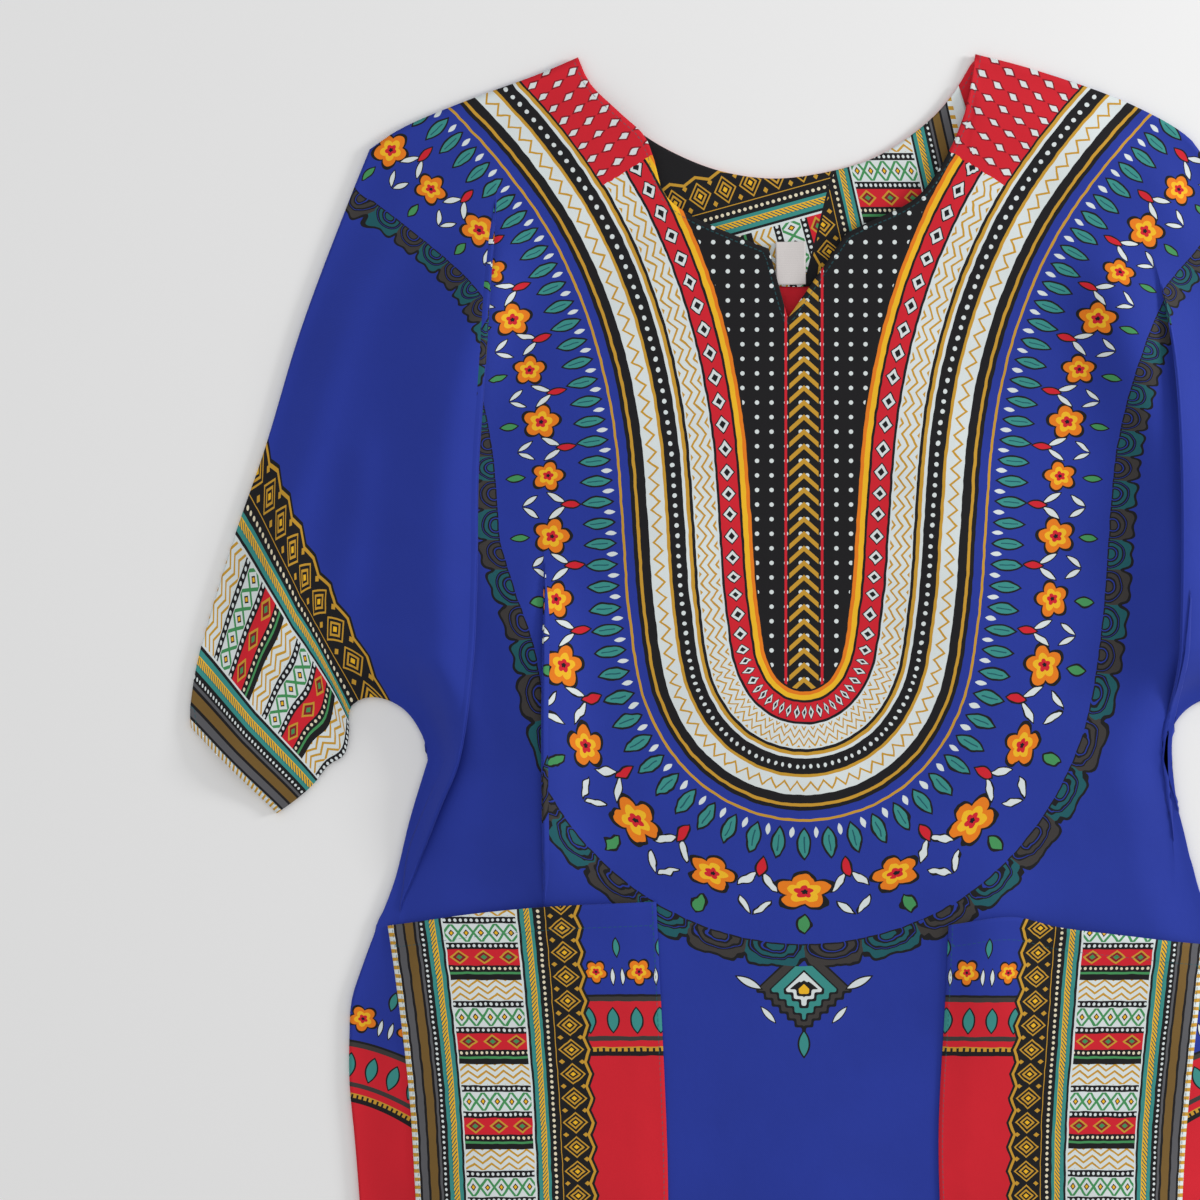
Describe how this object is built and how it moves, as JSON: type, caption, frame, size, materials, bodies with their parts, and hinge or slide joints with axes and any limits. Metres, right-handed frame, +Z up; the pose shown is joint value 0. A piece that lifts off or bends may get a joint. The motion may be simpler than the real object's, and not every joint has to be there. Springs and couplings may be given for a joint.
{
  "type": "dashiki shirt",
  "caption": "Loose short-sleeved pullover shirt lying flat, with a wide neck, a short slit, sleeves cut in one with the body and patch pockets.",
  "frame": {"origin": "centre of the bounding box on the surface that the shirt lies on", "axes": "+Z up off the surface through the front, +Y from the hem to the neck, +X towards the wearer's left sleeve"},
  "size_m": [0.75, 0.78, 0.0228],
  "materials": {
    "print_front": "printed plain-weave cotton, matt",
    "print_back": "printed plain-weave cotton, matt",
    "print_facing": "printed plain-weave cotton, matt",
    "print_pocket": "printed plain-weave cotton, matt",
    "label": "blank woven tape, slight sheen"
  },
  "bodies": {
    "root": {"front": "print_front", "back": "print_back", "back_neck_facing": "print_facing", "neck_label": "label", "pocket_left": "print_pocket", "pocket_right": "print_pocket"}
  },
  "joints": []
}
